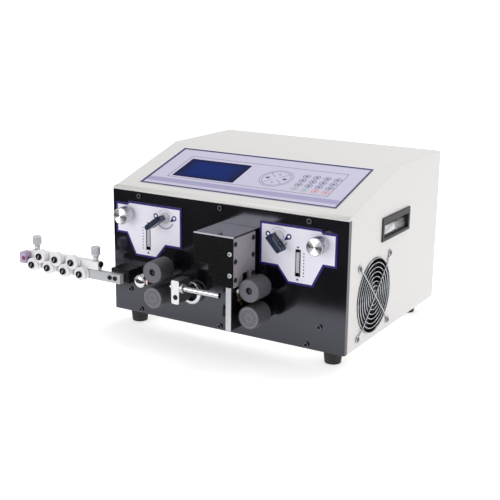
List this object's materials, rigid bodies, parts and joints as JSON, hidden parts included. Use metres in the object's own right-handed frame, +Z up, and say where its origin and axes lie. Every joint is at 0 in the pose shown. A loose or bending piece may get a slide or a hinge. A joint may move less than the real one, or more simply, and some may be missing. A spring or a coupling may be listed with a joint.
{
  "type": "wire cutting and stripping machine",
  "caption": "Bench machine that straightens electric wire, feeds it through roller pairs and cuts and strips it with opposed blades, in a sheet steel casing with a sloping control panel.",
  "frame": {"origin": "middle of the whole footprint, on the table under the feet", "axes": "+X along the wire from the inlet to the outlet, +Y from the front plate to the rear panel, +Z up"},
  "size_m": [0.5656, 0.4097, 0.268],
  "materials": {
    "powder_coat": "warm off-white powder coat",
    "black_plate": "black satin coat",
    "foot_rubber": "matt black rubber",
    "dark_screws": "blackened steel",
    "printed_film": "printed polyester film",
    "display": "blue display window",
    "boards": "power supply and circuit board",
    "black_plastic": "black moulded plastic",
    "guard_wire": "bright plated wire",
    "motor_steel": "black laminated steel",
    "bright_steel": "ground and polished steel",
    "satin_alloy": "satin aluminium",
    "grey_panel": "grey coated steel",
    "ceramic": "glazed guide eye",
    "nylon": "white nylon",
    "feed_rubber": "dark grey rubber"
  },
  "bodies": {
    "machine": {"casing": "powder_coat", "chassis_tray": "powder_coat", "front_plate": "black_plate", "feet": "foot_rubber", "panel_screws": "dark_screws", "printed_films": "printed_film", "display_module": "display", "electronics": "boards", "power_inlet": "black_plastic", "side_handles": "black_plastic", "fan_frame": "black_plastic", "fan_guard": "guard_wire", "stepper_motors": "motor_steel", "shaft_bushes": "bright_steel", "blade_frame": "satin_alloy", "blade_cover": "black_plate", "blade_side_panel": "grey_panel", "inlet_post": "bright_steel", "inlet_eyelet": "ceramic", "straightener_bar": "satin_alloy", "straightener_bracket": "black_plate", "lower_axles": "dark_screws", "entry_eyelet": "ceramic", "pressure_springs": "bright_steel"},
    "left_lever": {"left_release_lever": "black_plastic"},
    "left_carrier": {"left_carrier": "satin_alloy"},
    "left_lower_feed": {"left_lower_roller": "feed_rubber", "left_lower_gear_shaft": "bright_steel"},
    "left_upper_feed": {"left_upper_roller": "feed_rubber", "left_upper_gear_shaft": "bright_steel"},
    "left_knob": {"left_pressure_knob": "satin_alloy"},
    "left_slider": {"left_pressure_slider": "satin_alloy"},
    "right_lever": {"right_release_lever": "black_plastic"},
    "right_carrier": {"right_carrier": "satin_alloy"},
    "right_lower_feed": {"right_lower_roller": "feed_rubber", "right_lower_gear_shaft": "bright_steel"},
    "right_upper_feed": {"right_upper_roller": "feed_rubber", "right_upper_gear_shaft": "bright_steel"},
    "right_knob": {"right_pressure_knob": "satin_alloy"},
    "right_slider": {"right_pressure_slider": "satin_alloy"},
    "blade_drive": {"blade_pinion": "bright_steel"},
    "upper_blade_body": {"upper_blade_carrier": "satin_alloy", "upper_blade": "bright_steel"},
    "lower_blade_body": {"lower_blade_carrier": "satin_alloy", "lower_blade": "bright_steel"},
    "conduit": {"conduit_arm": "satin_alloy", "conduit_tube": "bright_steel"},
    "fan": {"fan_rotor": "black_plastic"},
    "rocker": {"power_rocker": "black_plastic"},
    "thumb_left": {"thumb_screw_left": "bright_steel"},
    "thumb_right": {"thumb_screw_right": "bright_steel"},
    "straightener_upper": {"straightener_slide": "satin_alloy", "upper_axles": "dark_screws"},
    "st_roller_1": {"straightener_roller_1": "nylon"},
    "st_roller_2": {"straightener_roller_2": "nylon"},
    "st_roller_3": {"straightener_roller_3": "nylon"},
    "st_roller_4": {"straightener_roller_4": "nylon"},
    "st_roller_5": {"straightener_roller_5": "nylon"},
    "st_roller_6": {"straightener_roller_6": "nylon"},
    "st_roller_7": {"straightener_roller_7": "nylon"}
  },
  "joints": [
    {"name": "left_lever_turn", "type": "hinge", "parent": "machine", "child": "left_lever", "pos_m": [-0.02825, -0.13575, 0.182], "axis": [0, -1, 0], "range_deg": [0, 90]},
    {"name": "left_carrier_slide", "type": "slide", "parent": "machine", "child": "left_carrier", "axis": [0, 0, -1], "range_m": [0, 0.0044]},
    {"name": "left_lower_feed_spin", "type": "hinge", "parent": "machine", "child": "left_lower_feed", "pos_m": [-0.01325, -0.17175, 0.0721], "axis": [0, -1, 0], "continuous": true},
    {"name": "left_upper_feed_spin", "type": "hinge", "parent": "left_carrier", "child": "left_upper_feed", "pos_m": [-0.01325, -0.17175, 0.1119], "axis": [0, -1, 0], "continuous": true},
    {"name": "left_knob_turn", "type": "hinge", "parent": "machine", "child": "left_knob", "pos_m": [-0.09675, -0.14975, 0.18], "axis": [0, 1, 0], "range_deg": [-57.4, 57.4]},
    {"name": "left_slider_move", "type": "slide", "parent": "machine", "child": "left_slider", "axis": [0, 0, -1], "range_m": [-0.01202, 0.01202], "deforming": ["pressure_springs"]},
    {"name": "right_lever_turn", "type": "hinge", "parent": "machine", "child": "right_lever", "pos_m": [0.16875, -0.13575, 0.182], "axis": [0, 1, 0], "range_deg": [0, 90]},
    {"name": "right_carrier_slide", "type": "slide", "parent": "machine", "child": "right_carrier", "axis": [0, 0, -1], "range_m": [0, 0.0044]},
    {"name": "right_lower_feed_spin", "type": "hinge", "parent": "machine", "child": "right_lower_feed", "pos_m": [0.15375, -0.17175, 0.0721], "axis": [0, -1, 0], "continuous": true},
    {"name": "right_upper_feed_spin", "type": "hinge", "parent": "right_carrier", "child": "right_upper_feed", "pos_m": [0.15375, -0.17175, 0.1119], "axis": [0, -1, 0], "continuous": true},
    {"name": "right_knob_turn", "type": "hinge", "parent": "machine", "child": "right_knob", "pos_m": [0.23725, -0.14975, 0.18], "axis": [0, -1, 0], "range_deg": [-57.4, 57.4]},
    {"name": "right_slider_move", "type": "slide", "parent": "machine", "child": "right_slider", "axis": [0, 0, -1], "range_m": [-0.01202, 0.01202], "deforming": ["pressure_springs"]},
    {"name": "blade_drive_turn", "type": "hinge", "parent": "machine", "child": "blade_drive", "pos_m": [0.08925, -0.15475, 0.132], "axis": [0, -1, 0], "range_deg": [0, 50.21]},
    {"name": "upper_blade_slide", "type": "slide", "parent": "machine", "child": "upper_blade_body", "axis": [0, 0, -1], "range_m": [0, 0.0092]},
    {"name": "lower_blade_slide", "type": "slide", "parent": "machine", "child": "lower_blade_body", "axis": [0, 0, 1], "range_m": [0, 0.0092]},
    {"name": "conduit_swing", "type": "hinge", "parent": "machine", "child": "conduit", "pos_m": [0.02325, -0.17175, 0.074], "axis": [0, -1, 0], "range_deg": [0, 25]},
    {"name": "fan_spin", "type": "hinge", "parent": "machine", "child": "fan", "pos_m": [0.26525, -0.04375, 0.088], "axis": [1, 0, 0], "continuous": true},
    {"name": "rocker_tilt", "type": "hinge", "parent": "machine", "child": "rocker", "pos_m": [0.20525, 0.19775, 0.09], "axis": [1, 0, 0], "range_deg": [0, 16]},
    {"name": "thumb_left_turn", "type": "hinge", "parent": "machine", "child": "thumb_left", "pos_m": [-0.25975, -0.16875, 0.12], "axis": [0, 0, 1], "range_deg": [-252, 1800]},
    {"name": "straightener_lift", "type": "slide", "parent": "machine", "child": "straightener_upper", "axis": [0, 0, 1], "range_m": [-0.0007, 0.005]},
    {"name": "thumb_right_turn", "type": "hinge", "parent": "machine", "child": "thumb_right", "pos_m": [-0.13875, -0.16875, 0.12], "axis": [0, 0, 1], "range_deg": [-252, 1800]},
    {"name": "straightener_spin_1", "type": "hinge", "parent": "machine", "child": "st_roller_1", "pos_m": [-0.25775, -0.17975, 0.084], "axis": [0, -1, 0], "continuous": true},
    {"name": "straightener_spin_2", "type": "hinge", "parent": "machine", "child": "st_roller_2", "pos_m": [-0.22475, -0.17975, 0.084], "axis": [0, -1, 0], "continuous": true},
    {"name": "straightener_spin_3", "type": "hinge", "parent": "machine", "child": "st_roller_3", "pos_m": [-0.19175, -0.17975, 0.084], "axis": [0, -1, 0], "continuous": true},
    {"name": "straightener_spin_4", "type": "hinge", "parent": "machine", "child": "st_roller_4", "pos_m": [-0.15875, -0.17975, 0.084], "axis": [0, -1, 0], "continuous": true},
    {"name": "straightener_spin_5", "type": "hinge", "parent": "straightener_upper", "child": "st_roller_5", "pos_m": [-0.24125, -0.17975, 0.1], "axis": [0, -1, 0], "continuous": true},
    {"name": "straightener_spin_6", "type": "hinge", "parent": "straightener_upper", "child": "st_roller_6", "pos_m": [-0.20825, -0.17975, 0.1], "axis": [0, -1, 0], "continuous": true},
    {"name": "straightener_spin_7", "type": "hinge", "parent": "straightener_upper", "child": "st_roller_7", "pos_m": [-0.17525, -0.17975, 0.1], "axis": [0, -1, 0], "continuous": true}
  ],
  "couplings": [
    {"joint": "left_lever_turn", "follows": "left_carrier_slide", "rad_per_m": 357},
    {"joint": "left_upper_feed_spin", "follows": "left_lower_feed_spin", "ratio": -1},
    {"joint": "left_slider_move", "follows": "left_knob_turn", "m_per_rad": 0.012},
    {"joint": "right_lever_turn", "follows": "right_carrier_slide", "rad_per_m": 357},
    {"joint": "right_upper_feed_spin", "follows": "right_lower_feed_spin", "ratio": -1},
    {"joint": "right_slider_move", "follows": "right_knob_turn", "m_per_rad": 0.012},
    {"joint": "blade_drive_turn", "follows": "upper_blade_slide", "rad_per_m": 95.238},
    {"joint": "lower_blade_slide", "follows": "upper_blade_slide", "ratio": 1},
    {"joint": "thumb_left_turn", "follows": "straightener_lift", "rad_per_m": 6283.2},
    {"joint": "thumb_right_turn", "follows": "straightener_lift", "rad_per_m": 6283.2}
  ]
}
